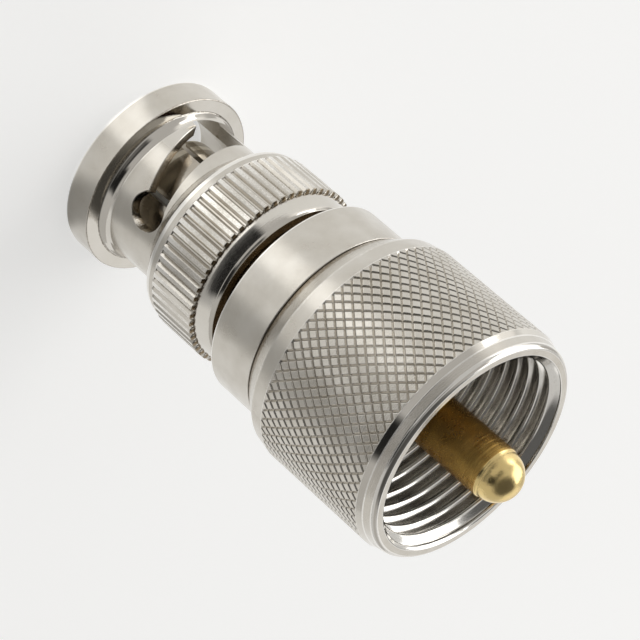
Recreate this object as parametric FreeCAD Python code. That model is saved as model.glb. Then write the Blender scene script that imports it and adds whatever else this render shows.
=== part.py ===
import FreeCAD, Part
import math
import os

# Coaxial adapter: a threaded plug with a coupling nut at the top, a bayonet plug at the bottom.
# Millimetres. The part stands on the bayonet flange: the origin is the centre of that face,
# and +Z runs up the common axis to the tip of the big centre pin. The cam slots are placed by
# their angle from +X, and the side at -90 degrees is the front.

# Threaded end, radial sizes, from the 5/8-24 coupling thread inwards and outwards
thread_dia = 15.875
thread_pitch = 25.4 / 24
thread_bore = thread_dia - 1.0825 * thread_pitch
nut_wall = 1.16
collar_clearance = 0.22
nut_ring_clearance = 0.15
ring_groove_depth = 0.5
body_stop_width = 0.55
collar_step = 0.95
neck_wall = 0.7
rim_step = 0.25
skin_step = 0.05
uhf_pin_dia = 3.96
pin_seat_step = 0.2

# Threaded end, heights and lengths
nut_length = 13.7
nut_gap = 0.1
nut_travel = 1.2
nut_chamfer_length = 1.45
nut_rear_band = 1.25
rim_length = 1.5
rim_slope_length = 0.5
rim_draft = 0.15
rim_chamfer = 0.25
mouth_countersink = 0.6
ring_groove_offset = 0.52
ring_thickness = 0.7
ring_side_clearance = 0.08
ring_slit = 1.6
lip_length = 2.1
relief_length = 1.5
collar_length = 1.8
collar_notches = 4
notch_width = 1.4
notch_depth = 0.6
pin_reach = 13.4
pin_dome_inset = 0.12
pin_taper_length = 0.3
insulator_recess = 0.3
insulator_length = 4.3

# Body between the two ends
body_length = 3.95
body_chamfer = 0.2
boss_step = 0.6
boss_length = 1.3
sleeve_gap = 0.05

# Bayonet end, radial sizes, from the centre outwards
bayonet_pin_dia = 1.35
bayonet_pin_body_dia = 2.1
socket_pocket_dia = 4.85
finger_gap = 0.35
plug_insulator_dia = 7.0
contact_wall = 0.5
contact_bead = 0.05
contact_root_step = 0.2
nose_wall = 0.35
gasket_width = 0.65
gasket_clearance = 0.15
sleeve_wall = 0.8
flange_step = 1.45
plug_flange_step = 1.1
chamber_clearance = 0.25
knurl_wall = 1.05
knurl_end_step = 0.37
taper_step = 0.65
shank_dia = 9.9
shank_clearance = 0.25
washer_clearance = 0.15
thread_step = 0.35

# Bayonet end, heights and lengths
flange_thickness = 2.3
flange_back_rise = 0.12
flange_fillet_length = 0.9
flange_inner_step = 0.45
sleeve_neck_length = 5.3
shoulder_length = 1.3
plain_band_length = 0.75
knurl_length = 4.25
knurl_end_length = 0.25
taper_length = 1.5
sleeve_lip = 1.0
edge_break = 0.15
stack_gap = 0.02
washer_thickness = 0.35
wave_thickness = 0.2
wave_rise = 0.4
wave_count = 3
wave_washers = 2
plug_flange_length = 1.0
gasket_length = 0.9
chamber_lead = 1.1
nose_length = 1.7
contact_seat = 3.0
contact_reach = 9.15
finger_slots = 6
finger_slot_width = 0.5
finger_slot_length = 5.6
finger_slot_angle = -76.0
plug_insulator_recess = 0.75
plug_insulator_length = 11.2
pocket_depth = 4.8
plug_thread_length = 4.0
pin_lead = 1.05
pin_tail_dia = 1.6
pin_tail_length = 3.4
pin_collar_dia = 5.6
pin_collar_length = 1.4
bayonet_pin_collar_dia = 2.8

# Diamond knurl on the coupling nut
nut_knurl_starts = 69
nut_knurl_row_count = 19
nut_knurl_depth = 0.22

# Straight knurl on the sleeve
knurl_teeth = 60
groove_depth = 0.26
groove_top = 0.46
groove_floor = 0.12

# Cam slots in the sleeve: a round detent, a sloping track and an entry channel, twice
cam_starts = 2
stud_circle_dia = 11.0
stud_clearance = 0.35
detent_dia = 2.9
detent_angle = -67.0
detent_setback = 1.55
entry_start_angle = -141.0
entry_end_angle = -169.0
track_front_drop = 0.4
track_rear_inset = 0.1
track_front_fall = 2.3
track_rear_fall = 1.2
entry_rear_fall = 0.45
track_section_count = 9
entry_section_count = 4

# Radii worked out from the driving sizes
pin_radius = uhf_pin_dia / 2
pin_seat_radius = pin_radius + pin_seat_step
collar_radius = thread_bore / 2 - collar_clearance
lip_radius = collar_radius + nut_ring_clearance
groove_radius = lip_radius + ring_groove_depth
nut_radius = thread_dia / 2 + nut_wall
rim_radius = nut_radius - rim_step
body_radius = lip_radius + body_stop_width
body_neck_radius = collar_radius - collar_step
uhf_bore_radius = body_neck_radius - neck_wall

contact_bore_radius = plug_insulator_dia / 2
contact_radius = contact_bore_radius + contact_wall
contact_root_radius = contact_radius - contact_root_step
nose_radius = contact_root_radius + nose_wall
gasket_radius = nose_radius + gasket_width
sleeve_bore_radius = gasket_radius + gasket_clearance
sleeve_neck_radius = sleeve_bore_radius + sleeve_wall
flange_radius = sleeve_neck_radius + flange_step
plug_flange_radius = sleeve_bore_radius + plug_flange_step
chamber_radius = plug_flange_radius + chamber_clearance
knurl_radius = chamber_radius + knurl_wall
taper_radius = knurl_radius - taper_step
shank_radius = shank_dia / 2
sleeve_lip_radius = shank_radius + shank_clearance
plug_thread_radius = shank_radius - thread_step
boss_radius = sleeve_lip_radius + boss_step
channel_radius = stud_circle_dia / 2 + stud_clearance

# Heights worked out from the driving sizes, from the flange face upwards
neck_bottom = flange_thickness + flange_fillet_length
shoulder_bottom = neck_bottom + sleeve_neck_length - flange_fillet_length
band_bottom = shoulder_bottom + shoulder_length
knurl_bottom = band_bottom + plain_band_length
knurl_top = knurl_bottom + knurl_length
sleeve_top = knurl_top + taper_length
lip_bottom = sleeve_top - sleeve_lip
washer_top = lip_bottom - stack_gap
washer_bottom = washer_top - washer_thickness
wave_height = wave_thickness + wave_rise
plug_flange_top = washer_bottom - wave_washers * (wave_height + stack_gap) - stack_gap
plug_flange_bottom = plug_flange_top - plug_flange_length
nose_bottom = plug_flange_bottom - nose_length
chamber_bottom = plug_flange_bottom - chamber_lead
contact_bottom = plug_flange_bottom - contact_reach
insulator_bottom = contact_bottom + plug_insulator_recess
insulator_top = insulator_bottom + plug_insulator_length
boss_bottom = sleeve_top + sleeve_gap
body_bottom = boss_bottom + boss_length
body_top = body_bottom + body_length
plug_thread_top = boss_bottom + plug_thread_length
nut_bottom = body_top + nut_gap
nut_top = nut_bottom + nut_length
groove_bottom = nut_bottom + ring_groove_offset
ring_bottom = groove_bottom + ring_side_clearance
ring_top = ring_bottom + ring_thickness
collar_bottom = ring_top + nut_travel + nut_gap
collar_top = collar_bottom + collar_length
uhf_insulator_top = collar_top - insulator_recess
uhf_insulator_bottom = uhf_insulator_top - insulator_length
pin_tip = collar_top + pin_reach
pin_joint = uhf_insulator_bottom - pin_collar_length
detent_height = shoulder_bottom - detent_setback


def save(shape, node):
    shape.exportStep("parts/" + node + ".step")


def turned(profile):
    """Revolve a closed outline of (radius, height) points about the axis."""
    points = [FreeCAD.Vector(r, 0, z) for r, z in profile]
    face = Part.Face(Part.makePolygon(points + points[:1]))
    return face.revolve(FreeCAD.Vector(0, 0, 0), FreeCAD.Vector(0, 0, 1), 360)


def cylinder(radius, bottom, top):
    return Part.makeCylinder(radius, top - bottom, FreeCAD.Vector(0, 0, bottom))


def turn(shape, angle):
    """Copy a shape and turn it about the axis, in degrees."""
    copy = shape.copy()
    copy.rotate(FreeCAD.Vector(0, 0, 0), FreeCAD.Vector(0, 0, 1), angle)
    return copy


def around(shape, count):
    """Copies of a shape, evenly spaced about the axis."""
    return [turn(shape, 360.0 * i / count) for i in range(count)]


def closed(faces):
    """One solid from the faces that bound it."""
    shell = Part.makeShell(faces)
    shell.sewShape()
    solid = Part.makeSolid(shell)
    if solid.Volume < 0:
        solid.reverse()
    return solid


def radial_box(inner, outer, width, bottom, top):
    """A box that runs outwards along +X, centred on the X axis."""
    corner = FreeCAD.Vector(inner, -width / 2, bottom)
    return Part.makeBox(outer - inner, width, top - bottom, corner)


def adapter_body():
    """Turned brass body: stop boss, outer flange, neck for the snap ring, and front collar."""
    outline = [
        (plug_thread_radius, boss_bottom),
        (boss_radius, boss_bottom),
        (boss_radius, body_bottom),
        (body_radius - body_chamfer, body_bottom),
        (body_radius, body_bottom + body_chamfer),
        (body_radius, body_top - body_chamfer),
        (body_radius - body_chamfer, body_top),
        (body_neck_radius, body_top),
        (body_neck_radius, collar_bottom),
        (collar_radius, collar_bottom),
        (collar_radius, collar_top - edge_break),
        (collar_radius - edge_break, collar_top),
        (uhf_bore_radius, collar_top),
        (uhf_bore_radius, uhf_insulator_bottom),
        (pin_collar_dia / 2 + collar_step, uhf_insulator_bottom),
        (pin_collar_dia / 2 + collar_step, plug_thread_top),
        (plug_thread_radius, plug_thread_top),
    ]
    notch = radial_box(
        uhf_bore_radius - notch_depth,
        collar_radius + notch_depth,
        notch_width,
        collar_top - notch_depth,
        collar_top + notch_depth,
    )
    return turned(outline).cut(around(notch, collar_notches))


def uhf_insulator():
    """White bushing pressed into the front of the body."""
    outline = [
        (pin_seat_radius, uhf_insulator_bottom),
        (uhf_bore_radius, uhf_insulator_bottom),
        (uhf_bore_radius, uhf_insulator_top),
        (pin_seat_radius, uhf_insulator_top),
    ]
    return turned(outline)


def uhf_pin():
    """Gilt centre pin: domed tip, seat pressed in the bushing, socket in its foot."""
    dome_radius = pin_radius - pin_dome_inset
    dome_height = pin_tip - dome_radius
    outline = [
        (0, pin_joint),
        (pin_collar_dia / 2, pin_joint),
        (pin_collar_dia / 2, uhf_insulator_bottom),
        (pin_seat_radius, uhf_insulator_bottom),
        (pin_seat_radius, uhf_insulator_top),
        (pin_radius, uhf_insulator_top),
        (pin_radius, dome_height - pin_taper_length),
        (dome_radius, dome_height),
        (0, dome_height),
    ]
    dome = Part.makeSphere(dome_radius, FreeCAD.Vector(0, 0, dome_height))
    socket = cylinder(pin_tail_dia / 2, pin_joint - stack_gap, pin_joint + pin_tail_length)
    return turned(outline).fuse(dome).removeSplitter().cut(socket)


def diamond_rows(bottom, top):
    """Rows of points round the nut, raised and sunk by turns; the two end rows are all raised."""
    steps = 2 * nut_knurl_starts
    rows = []
    for row in range(nut_knurl_row_count + 1):
        height = bottom + (top - bottom) * row / nut_knurl_row_count
        at_end = row in (0, nut_knurl_row_count)
        points = []
        for step in range(steps):
            raised = at_end or (row + step) % 2 == 0
            radius = nut_radius if raised else nut_radius - nut_knurl_depth
            angle = 2 * math.pi * step / steps
            points.append(FreeCAD.Vector(radius * math.cos(angle), radius * math.sin(angle), height))
        rows.append(points)
    return rows


def diamond_facets(rows):
    """Flat facets of the knurl: four slope down from each raised point to the grooves."""
    steps = 2 * nut_knurl_starts
    facets = []
    for row in range(nut_knurl_row_count):
        for step in range(steps):
            ahead = (step + 1) % steps
            low, low_ahead = rows[row][step], rows[row][ahead]
            high, high_ahead = rows[row + 1][step], rows[row + 1][ahead]
            if (row + step) % 2 == 0:
                corners = [(low, low_ahead, high), (low_ahead, high_ahead, high)]
            else:
                corners = [(low, low_ahead, high_ahead), (low, high_ahead, high)]
            for a, b, c in corners:
                facets.append(Part.Face(Part.makePolygon([a, b, c, a])))
    return facets


def end_face(row):
    """Narrow flat ring between one end of the knurl and the plain turned surface."""
    height = row[0].z
    circle = Part.makeCircle(nut_radius - skin_step, FreeCAD.Vector(0, 0, height))
    wires = [Part.makePolygon(row + row[:1]), Part.Wire(circle)]
    return Part.makeFace(wires, "Part::FaceMakerBullseye")


def coupling_nut():
    """Coupling nut: rear lip with the snap ring groove, thread bore, knurled skin and plain rim."""
    relief_radius = thread_dia / 2 + stack_gap
    lip_top = nut_bottom + lip_length
    skin_bottom = nut_bottom + nut_chamfer_length + nut_rear_band
    skin_top = nut_top - rim_length
    outline = [
        (nut_radius - skin_step, skin_bottom),
        (rim_radius, nut_bottom + nut_chamfer_length),
        (body_radius, nut_bottom),
        (lip_radius, nut_bottom),
        (lip_radius, groove_bottom),
        (groove_radius, groove_bottom),
        (groove_radius, ring_top + ring_side_clearance),
        (lip_radius, ring_top + ring_side_clearance),
        (lip_radius, lip_top),
        (relief_radius, lip_top),
        (relief_radius, lip_top + relief_length),
        (thread_bore / 2, lip_top + relief_length),
        (thread_bore / 2, nut_top - mouth_countersink),
        (thread_dia / 2, nut_top),
        (rim_radius - rim_draft - rim_chamfer, nut_top),
        (rim_radius - rim_draft, nut_top - rim_chamfer),
        (rim_radius, skin_top + rim_slope_length),
        (nut_radius - skin_step, skin_top),
    ]
    rows = diamond_rows(skin_bottom, skin_top)
    line = Part.makePolygon([FreeCAD.Vector(r, 0, z) for r, z in outline])
    plain = line.revolve(FreeCAD.Vector(0, 0, 0), FreeCAD.Vector(0, 0, 1), 360)
    return closed(plain.Faces + diamond_facets(rows) + [end_face(rows[0]), end_face(rows[-1])])


def nut_snap_ring():
    """Split wire ring that rides in the nut's groove and keeps the nut behind the collar."""
    inner = body_neck_radius + nut_ring_clearance
    outer = groove_radius - ring_side_clearance
    outline = [(inner, ring_bottom), (outer, ring_bottom), (outer, ring_top), (inner, ring_top)]
    slit = radial_box(
        inner - ring_thickness,
        outer + ring_thickness,
        ring_slit,
        ring_bottom - ring_thickness,
        ring_top + ring_thickness,
    )
    return turned(outline).cut(turn(slit, 90))


def cam_section(angle, bottom, top):
    """Upright quadrilateral through the sleeve wall, at one angle about the axis."""
    inner = sleeve_bore_radius - sleeve_wall
    outer = sleeve_neck_radius + sleeve_wall
    side = FreeCAD.Vector(math.cos(math.radians(angle)), math.sin(math.radians(angle)), 0)
    up = FreeCAD.Vector(0, 0, 1)
    corners = [
        side * inner + up * bottom,
        side * outer + up * bottom,
        side * outer + up * top,
        side * inner + up * top,
    ]
    return Part.makePolygon(corners + corners[:1])


def cam_stretch(angles, bottoms, tops, count):
    """Cutter between two angles, its lower and upper edges each a helix."""
    sections = []
    for i in range(count):
        share = i / (count - 1)
        angle = angles[0] + share * (angles[1] - angles[0])
        bottom = bottoms[0] + share * (bottoms[1] - bottoms[0])
        top = tops[0] + share * (tops[1] - tops[0])
        sections.append(cam_section(angle, bottom, top))
    return Part.makeLoft(sections, True, False)


def cam_slot():
    """Cutters of one slot: round detent, track that drops towards the flange, entry channel."""
    detent = Part.makeCylinder(
        detent_dia / 2,
        sleeve_neck_radius + sleeve_wall,
        FreeCAD.Vector(0, 0, detent_height),
        FreeCAD.Vector(1, 0, 0),
    )
    front_start = detent_height - track_front_drop
    front_end = front_start - track_front_fall
    rear_start = detent_height + detent_dia / 2 - track_rear_inset
    rear_middle = rear_start - track_rear_fall
    rear_end = rear_middle - entry_rear_fall
    track = cam_stretch(
        (detent_angle, entry_start_angle),
        (front_start, front_end),
        (rear_start, rear_middle),
        track_section_count,
    )
    entry = cam_stretch(
        (entry_start_angle, entry_end_angle),
        (front_end, front_end),
        (rear_middle, rear_end),
        entry_section_count,
    )
    channel = Part.makeCylinder(
        channel_radius,
        front_end + sleeve_wall + edge_break,
        FreeCAD.Vector(0, 0, -edge_break),
        FreeCAD.Vector(0, 0, 1),
        abs(entry_end_angle - entry_start_angle),
    )
    return [turn(detent, detent_angle), track, entry, turn(channel, entry_end_angle)]


def bayonet_sleeve():
    """Turned bayonet sleeve: flange, thin neck with two cam slots, knurled grip and rear lip."""
    outline = [
        (sleeve_bore_radius + edge_break, 0),
        (flange_radius - edge_break, 0),
        (flange_radius, edge_break),
        (flange_radius, flange_thickness),
        (sleeve_neck_radius + flange_inner_step, flange_thickness + flange_back_rise),
        (sleeve_neck_radius, neck_bottom),
        (sleeve_neck_radius, shoulder_bottom),
        (knurl_radius, band_bottom),
        (knurl_radius, knurl_top),
        (knurl_radius - knurl_end_step, knurl_top + knurl_end_length),
        (taper_radius, sleeve_top - edge_break),
        (taper_radius - edge_break, sleeve_top),
        (sleeve_lip_radius, sleeve_top),
        (sleeve_lip_radius, lip_bottom),
        (chamber_radius, lip_bottom),
        (chamber_radius, chamber_bottom),
        (sleeve_bore_radius, chamber_bottom),
        (sleeve_bore_radius, edge_break),
    ]
    groove = Part.makePolygon([
        FreeCAD.Vector(knurl_radius - groove_depth, -groove_floor / 2, knurl_bottom),
        FreeCAD.Vector(knurl_radius - groove_depth, groove_floor / 2, knurl_bottom),
        FreeCAD.Vector(knurl_radius + stack_gap, groove_top / 2, knurl_bottom),
        FreeCAD.Vector(knurl_radius + stack_gap, -groove_top / 2, knurl_bottom),
        FreeCAD.Vector(knurl_radius - groove_depth, -groove_floor / 2, knurl_bottom),
    ])
    groove = Part.Face(groove).extrude(FreeCAD.Vector(0, 0, knurl_length + knurl_end_length))
    sleeve = turned(outline).cut(around(groove, knurl_teeth))
    for cutter in cam_slot():
        sleeve = sleeve.cut(around(cutter, cam_starts))
    return sleeve


def plug_body():
    """Turned carrier of the bayonet plug: nose, flange for the washers, shank and threaded foot."""
    outline = [
        (contact_root_radius, nose_bottom),
        (nose_radius, nose_bottom),
        (nose_radius, plug_flange_bottom),
        (plug_flange_radius, plug_flange_bottom),
        (plug_flange_radius, plug_flange_top),
        (shank_radius, plug_flange_top),
        (shank_radius, boss_bottom),
        (plug_thread_radius, boss_bottom),
        (plug_thread_radius, plug_thread_top),
        (contact_bore_radius, plug_thread_top),
        (contact_bore_radius, nose_bottom + contact_seat),
        (contact_root_radius, nose_bottom + contact_seat),
    ]
    return turned(outline)


def outer_contact():
    """Slotted spring contact, a thin tube whose six fingers end in a slight bead."""
    bead_length = 2 * contact_wall
    outline = [
        (contact_bore_radius, contact_bottom),
        (contact_radius - contact_bead, contact_bottom),
        (contact_radius, contact_bottom + contact_bead),
        (contact_radius, contact_bottom + bead_length),
        (contact_radius - contact_bead, contact_bottom + 2 * bead_length),
        (contact_radius - contact_bead, nose_bottom),
        (contact_root_radius, nose_bottom),
        (contact_root_radius, nose_bottom + contact_seat),
        (contact_bore_radius, nose_bottom + contact_seat),
    ]
    slot = radial_box(
        contact_bore_radius - contact_wall,
        contact_radius + contact_wall,
        finger_slot_width,
        contact_bottom - contact_wall,
        contact_bottom + finger_slot_length,
    )
    first_slot = turn(slot, finger_slot_angle)
    return turned(outline).cut(around(first_slot, finger_slots))


def gasket():
    """Soft sealing ring stretched over the nose in front of the plug flange."""
    bottom = plug_flange_bottom - gasket_length
    outline = [
        (nose_radius, bottom),
        (gasket_radius, bottom),
        (gasket_radius, plug_flange_bottom),
        (nose_radius, plug_flange_bottom),
    ]
    return turned(outline)


def plug_insulator():
    """White bushing inside the outer contact, with a pocket round the thin pin."""
    tube_radius = contact_bore_radius - finger_gap
    tube_top = nose_bottom
    pin_hole = bayonet_pin_body_dia / 2
    pocket_top = insulator_bottom + pocket_depth
    outline = [
        (socket_pocket_dia / 2, insulator_bottom),
        (tube_radius, insulator_bottom),
        (tube_radius, tube_top),
        (contact_bore_radius, tube_top),
        (contact_bore_radius, insulator_top),
        (pin_hole, insulator_top),
        (pin_hole, pocket_top),
        (socket_pocket_dia / 2, pocket_top),
    ]
    return turned(outline)


def bayonet_pin():
    """Thin gilt pin with a pointed tip, a stop collar and a tail pressed into the big pin."""
    tip = contact_bottom - pin_lead
    tip_radius = bayonet_pin_dia / 2
    pocket_top = insulator_bottom + pocket_depth
    outline = [
        (0, tip),
        (tip_radius / 2, tip),
        (tip_radius, tip + bayonet_pin_dia),
        (tip_radius, pocket_top),
        (bayonet_pin_body_dia / 2, pocket_top),
        (bayonet_pin_body_dia / 2, insulator_top),
        (bayonet_pin_collar_dia / 2, insulator_top),
        (bayonet_pin_collar_dia / 2, pin_joint),
        (pin_tail_dia / 2, pin_joint),
        (pin_tail_dia / 2, pin_joint + pin_tail_length),
        (0, pin_joint + pin_tail_length),
    ]
    return turned(outline)


def thrust_washer():
    """Flat washer between the wave washers and the sleeve's rear lip."""
    outline = [
        (shank_radius + washer_clearance, washer_bottom),
        (chamber_radius - washer_clearance, washer_bottom),
        (chamber_radius - washer_clearance, washer_top),
        (shank_radius + washer_clearance, washer_top),
    ]
    return turned(outline)


def wave_ring(radius, height):
    """Closed curve that rises and falls as it goes round."""
    steps = 8 * wave_count
    points = []
    for i in range(steps):
        angle = 2 * math.pi * i / steps
        lift = wave_rise / 2 * (1 - math.cos(wave_count * angle))
        points.append(FreeCAD.Vector(radius * math.cos(angle), radius * math.sin(angle), height + lift))
    curve = Part.BSplineCurve()
    curve.interpolate(points, PeriodicFlag=True)
    return curve.toShape()


def wave_washer(number):
    """Spring washer of thin strip bent into waves."""
    bottom = plug_flange_top + stack_gap + number * (wave_height + stack_gap)
    inner = shank_radius + washer_clearance
    outer = chamber_radius - washer_clearance
    low_in = wave_ring(inner, bottom)
    low_out = wave_ring(outer, bottom)
    high_in = wave_ring(inner, bottom + wave_thickness)
    high_out = wave_ring(outer, bottom + wave_thickness)
    faces = [
        Part.makeRuledSurface(low_in, low_out),
        Part.makeRuledSurface(low_out, high_out),
        Part.makeRuledSurface(high_out, high_in),
        Part.makeRuledSurface(high_in, low_in),
    ]
    return closed(faces)


os.makedirs("parts", exist_ok=True)
save(adapter_body(), "adapter_body")
save(uhf_insulator(), "uhf_insulator")
save(uhf_pin(), "uhf_pin")
save(coupling_nut(), "coupling_nut")
save(nut_snap_ring(), "nut_snap_ring")
save(bayonet_sleeve(), "bayonet_sleeve")
save(thrust_washer(), "thrust_washer")
for number in range(wave_washers):
    save(wave_washer(number), "wave_washer_" + str(number + 1))
save(plug_body(), "bayonet_plug_body")
save(outer_contact(), "outer_contact")
save(gasket(), "gasket")
save(plug_insulator(), "bayonet_insulator")
save(bayonet_pin(), "bayonet_pin")
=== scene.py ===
import math
import bpy
import bmesh
from mathutils import Matrix, Vector


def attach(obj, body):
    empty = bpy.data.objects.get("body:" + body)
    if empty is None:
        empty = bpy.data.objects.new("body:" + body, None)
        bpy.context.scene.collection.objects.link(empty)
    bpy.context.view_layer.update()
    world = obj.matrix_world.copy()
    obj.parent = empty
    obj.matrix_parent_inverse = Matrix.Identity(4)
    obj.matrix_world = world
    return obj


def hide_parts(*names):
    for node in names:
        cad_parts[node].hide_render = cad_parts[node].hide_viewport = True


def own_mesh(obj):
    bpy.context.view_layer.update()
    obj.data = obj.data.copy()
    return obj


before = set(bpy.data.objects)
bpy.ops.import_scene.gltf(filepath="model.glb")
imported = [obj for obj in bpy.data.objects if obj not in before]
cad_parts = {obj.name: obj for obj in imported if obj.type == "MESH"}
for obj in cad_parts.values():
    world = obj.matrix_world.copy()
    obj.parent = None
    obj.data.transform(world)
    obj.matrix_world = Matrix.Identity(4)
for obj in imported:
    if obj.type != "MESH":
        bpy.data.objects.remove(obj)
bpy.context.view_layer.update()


# The bench, the light and the camera.
# The adapter stands on a pale opal light table in a white light tent. Bright turned faces mirror two dark
# things: the tent's opening towards the camera and the front of the table, where shade is painted into the
# table's glow and colour for mirrored rays only.
def add(tree, kind, **settings):
    made = tree.nodes.new(kind)
    for field, value in settings.items():
        setattr(made, field, value)
    return made


def link(tree, source, target):
    tree.links.new(source, target)


def sums(tree, operation, first, second=None, clamp=False):
    """One Math node; each term is a number or another node's output."""
    made = add(tree, "ShaderNodeMath", operation=operation, use_clamp=clamp)
    for socket, term in zip(made.inputs, (first, second)):
        if isinstance(term, (int, float)):
            socket.default_value = term
        elif term is not None:
            link(tree, term, socket)
    return made.outputs[0]


def plus(tree, first, second):
    return sums(tree, "ADD", first, second)


def less(tree, first, second):
    return sums(tree, "SUBTRACT", first, second)


def times(tree, first, second):
    return sums(tree, "MULTIPLY", first, second)


def span(tree, x, y):
    """Distance of (x, y) from the axis."""
    return sums(tree, "SQRT", plus(tree, times(tree, x, x), times(tree, y, y)))


def towards(tree, x, y, heading):
    """How far (x, y) points towards a heading, in degrees from +X."""
    turn = math.radians(heading)
    return plus(tree, times(tree, x, math.cos(turn)), times(tree, y, math.sin(turn)))


def ramped(tree, value, low, high, start=0.0, end=1.0):
    """Smooth change from start to end while the value goes from low to high."""
    made = add(tree, "ShaderNodeMapRange", interpolation_type="SMOOTHSTEP")
    link(tree, value, made.inputs["Value"])
    for socket, number in zip(("From Min", "From Max", "To Min", "To Max"), (low, high, start, end)):
        made.inputs[socket].default_value = number
    return made.outputs["Result"]


def two_tone(tree, share, first, second):
    """Mix of two colours; each is a colour or another node's output."""
    mix = add(tree, "ShaderNodeMix", data_type="RGBA")
    link(tree, share, mix.inputs[0])
    for socket, colour in ((mix.inputs[6], first), (mix.inputs[7], second)):
        if isinstance(colour, tuple):
            socket.default_value = (*colour, 1)
        else:
            link(tree, colour, socket)
    return mix.outputs[2]


def new_material(name):
    material = bpy.data.materials.new(name)
    material.use_nodes = True
    tree = material.node_tree
    return material, tree, tree.nodes["Principled BSDF"]


opening_side, gap_side = -76, -53
cloth_glow, west_gain, darkness = 0.62, 0.65, 0.97
tent = bpy.data.worlds.new("light_tent")
bpy.context.scene.world = tent
tent.use_nodes = True
tree = tent.node_tree
side = add(tree, "ShaderNodeSeparateXYZ")
link(tree, add(tree, "ShaderNodeTexCoord").outputs["Generated"], side.inputs[0])
east, north, up = side.outputs
flat = span(tree, east, north)
wide = ramped(tree, sums(tree, "DIVIDE", towards(tree, east, north, opening_side), flat), 0.64, 0.79)
narrow = ramped(tree, sums(tree, "DIVIDE", towards(tree, east, north, gap_side), flat), 0.90, 0.975)
horizon = times(tree, ramped(tree, up, -0.20, -0.13), ramped(tree, up, 0.03, -0.03))
heights = sums(tree, "MAXIMUM", horizon, ramped(tree, up, 0.40, 0.52, 0.0, 0.95))
upright = times(tree, narrow, ramped(tree, up, 0.06, 0.20))
across = sums(tree, "MAXIMUM", times(tree, wide, heights), upright)
below = ramped(tree, up, 0.76, 0.58)
leaning = plus(tree, times(tree, east, 0.25), times(tree, up, 0.97))
roof = times(tree, ramped(tree, leaning, 0.68, 0.84), 0.85)
opening = sums(tree, "MAXIMUM", times(tree, across, below), roof)
west = times(tree, ramped(tree, times(tree, east, -1.0), 0.86, 0.97), ramped(tree, up, 0.32, 0.16))
level = plus(tree, cloth_glow, times(tree, west, west_gain))
level = times(tree, level, less(tree, 1.0, times(tree, opening, darkness)))
seen = add(tree, "ShaderNodeLightPath").outputs["Is Camera Ray"]
level = plus(tree, times(tree, level, less(tree, 1.0, seen)), seen)
link(tree, level, tree.nodes["Background"].inputs["Strength"])
tree.nodes["Background"].inputs["Color"].default_value = (1.0, 0.985, 0.96, 1)

nose, half_width, depth = 0.105, 1.5, 2.9
front_edge = [(nose * math.cos(math.radians(a)), nose * math.sin(math.radians(a)), 0)
              for a in range(-180, 1, 5)]
back_edge = [(half_width, 0, 0), (half_width, depth, 0), (-half_width, depth, 0), (-half_width, 0, 0)]
bm = bmesh.new()
bm.faces.new([bm.verts.new(corner) for corner in front_edge + back_edge])
bench = bpy.data.objects.new("bench", bpy.data.meshes.new("bench"))
bm.to_mesh(bench.data)
bm.free()
bpy.context.scene.collection.objects.link(bench)
plain_glow, mirrored_glow = 0.95, 1.10
opal, tree, shader = new_material("opal_acrylic")
cloud = add(tree, "ShaderNodeTexNoise")
cloud.inputs["Scale"].default_value = 3.0
ground = add(tree, "ShaderNodeTexCoord").outputs["Object"]
link(tree, ground, cloud.inputs["Vector"])
tint = two_tone(tree, cloud.outputs["Fac"], (0.54, 0.54, 0.535), (0.58, 0.58, 0.575))
link(tree, tint, shader.inputs["Emission Color"])
flatten = add(tree, "ShaderNodeVectorMath", operation="MULTIPLY")
flatten.inputs[1].default_value = (1, 1, 0)
link(tree, ground, flatten.inputs[0])
unit = add(tree, "ShaderNodeVectorMath", operation="NORMALIZE")
link(tree, flatten.outputs[0], unit.inputs[0])
spot = add(tree, "ShaderNodeSeparateXYZ")
link(tree, unit.outputs[0], spot.inputs[0])
distance = add(tree, "ShaderNodeVectorMath", operation="LENGTH")
link(tree, flatten.outputs[0], distance.inputs[0])
# Painted light, seen only in mirrors: the table's glow is brighter there than when seen directly, with a
# painted bright patch towards heading -106 and a painted dark patch towards heading -38.
glow = mirrored_glow
for heading, start, end, gain in ((-106, 0.95, 0.995, 1.05), (-38, 0.90, 0.99, -0.72)):
    facing = towards(tree, spot.outputs[0], spot.outputs[1], heading)
    glow = plus(tree, glow, times(tree, ramped(tree, facing, start, end), gain))
mirrored = add(tree, "ShaderNodeLightPath").outputs["Is Glossy Ray"]
# Painted shade, seen only in mirrors: the front of the table towards the tent's opening loses its glow and
# its colour turns nearly black.
facing = towards(tree, spot.outputs[0], spot.outputs[1], opening_side)
shaded = times(tree, ramped(tree, facing, 0.64, 0.79),
               ramped(tree, distance.outputs["Value"], 0.064, 0.088))
glow = times(tree, glow, less(tree, 1.0, shaded))
painted_shade_colour = two_tone(tree, times(tree, shaded, mirrored), tint, (0.03, 0.03, 0.03))
link(tree, painted_shade_colour, shader.inputs["Base Color"])
glow = plus(tree, plain_glow, times(tree, less(tree, glow, plain_glow), mirrored))
link(tree, glow, shader.inputs["Emission Strength"])
shader.inputs["Roughness"].default_value = 0.7
shader.inputs["Specular IOR Level"].default_value = 0.2
bench.data.materials.append(opal)

for name, place, width, height, power in (
    ("west_panel", (-0.40, 0.22, 0.40), 0.50, 0.50, 1.3),
    ("left_panel", (-0.50, -0.02, 0.135), 0.22, 0.12, 0.17),
    ("back_panel", (0.10, 0.45, 0.30), 0.40, 0.40, 0.2),
):
    lamp = bpy.data.objects.new(name, bpy.data.lights.new(name, "AREA"))
    lamp.data.shape = "RECTANGLE"
    lamp.data.size = width
    lamp.data.size_y = height
    lamp.data.energy = power
    lamp.location = place
    lamp.rotation_euler = (Vector((0, 0, 0.02)) - Vector(place)).to_track_quat("-Z", "Y").to_euler()
    bpy.context.scene.collection.objects.link(lamp)

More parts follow.
